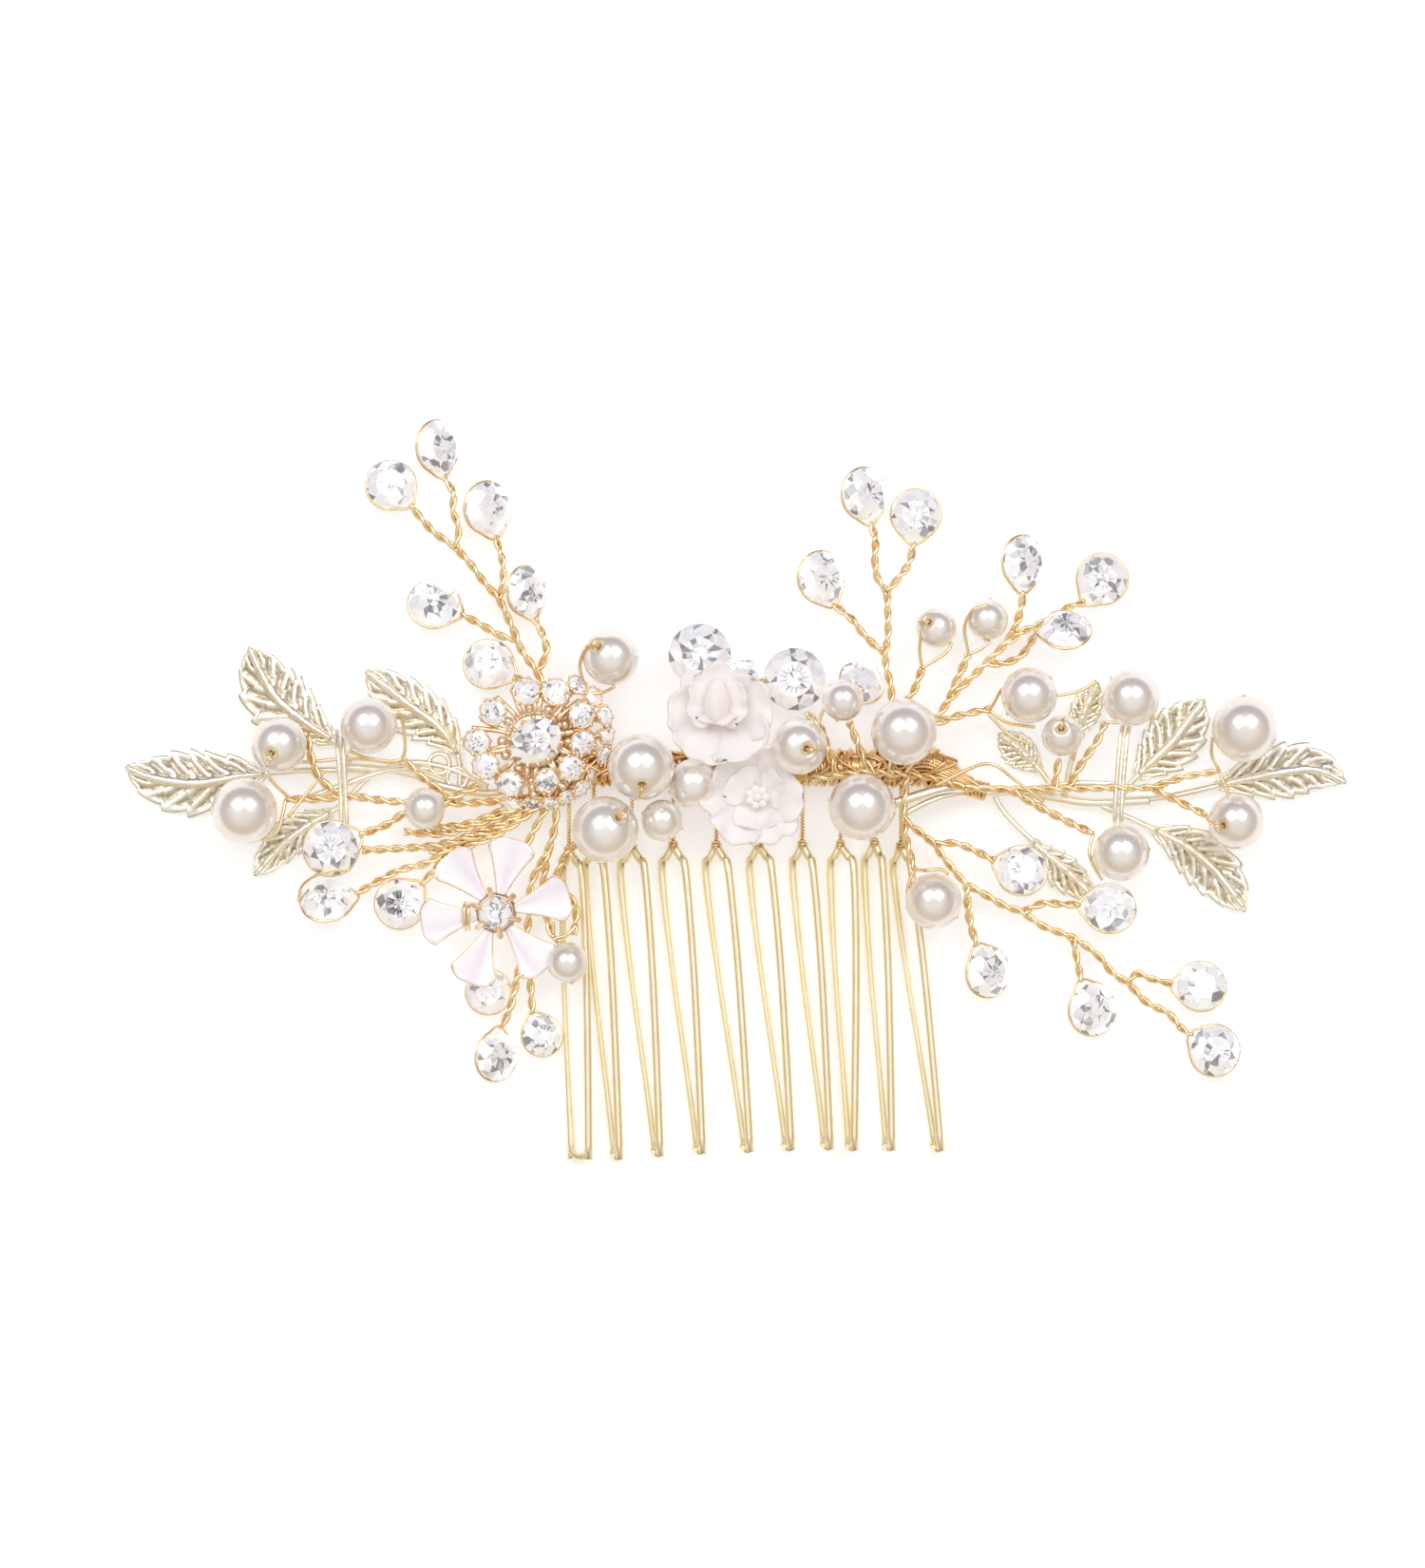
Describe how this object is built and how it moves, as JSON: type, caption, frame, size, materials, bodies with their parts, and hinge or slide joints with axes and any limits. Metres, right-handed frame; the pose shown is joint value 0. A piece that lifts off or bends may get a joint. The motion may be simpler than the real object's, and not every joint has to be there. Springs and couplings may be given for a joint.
{
  "type": "decorative hair comb",
  "caption": "Wire side comb for hair with leaf branches, twisted-wire sprays of clear stones, pearls, and white, enamel and stone-set flowers.",
  "frame": {"origin": "middle of the bounding box in X and Y, on the plane the comb lies on", "axes": "+X along the comb from the longest left leaf to the longest right leaf, +Y from the teeth's tips towards the sprays, +Z out of the decorated face"},
  "size_m": [0.1476, 0.09, 0.0135],
  "materials": {
    "comb_gold": "polished yellow gold plate",
    "binding_gold": "bright warm gold wire",
    "leaf_gold": "pale gold plate with dark recesses",
    "rose_gold": "rose gold plate",
    "pearl": "ivory pearl coating",
    "clear_stone": "clear faceted glass with a foiled back",
    "white_ceramic": "matt white modelled clay",
    "enamel": "pearly pale lilac enamel"
  },
  "bodies": {
    "root": {"comb_wire": "comb_gold", "binding_wire": "binding_gold", "spray_wire_left": "binding_gold", "spray_wire_right": "binding_gold", "leaf_branch_left": "leaf_gold", "leaf_branch_right": "leaf_gold", "white_rose": "white_ceramic", "white_blossom": "white_ceramic", "cluster_flower": "rose_gold", "cluster_stone": "clear_stone", "enamel_flower": "enamel", "enamel_stone": "clear_stone", "pearl_01": "pearl", "pearl_02": "pearl", "pearl_03": "pearl", "pearl_04": "pearl", "pearl_05": "pearl", "pearl_06": "pearl", "pearl_07": "pearl", "pearl_08": "pearl", "pearl_09": "pearl", "pearl_10": "pearl", "pearl_11": "pearl", "pearl_12": "pearl", "pearl_13": "pearl", "pearl_14": "pearl", "pearl_15": "pearl", "pearl_16": "pearl", "pearl_17": "pearl", "pearl_18": "pearl", "pearl_19": "pearl", "pearl_20": "pearl", "pearl_21": "pearl", "pearl_22": "pearl", "pearl_23": "pearl", "stone_left_top_1": "clear_stone", "stone_left_top_2": "clear_stone", "stone_left_top_3": "clear_stone", "stone_left_top_4": "clear_stone", "stone_left_top_5": "clear_stone", "stone_left_top_6": "clear_stone", "stone_left_low_1": "clear_stone", "stone_left_low_2": "clear_stone", "stone_left_low_3": "clear_stone", "stone_left_low_4": "clear_stone", "stone_left_low_5": "clear_stone", "stone_middle_1": "clear_stone", "stone_middle_2": "clear_stone", "stone_right_top_1": "clear_stone", "stone_right_top_2": "clear_stone", "stone_right_top_3": "clear_stone", "stone_right_top_4": "clear_stone", "stone_right_top_5": "clear_stone", "stone_right_top_6": "clear_stone", "stone_right_low_1": "clear_stone", "stone_right_low_2": "clear_stone", "stone_right_low_3": "clear_stone", "stone_right_low_4": "clear_stone", "stone_right_low_5": "clear_stone", "stone_right_low_6": "clear_stone"}
  },
  "joints": []
}
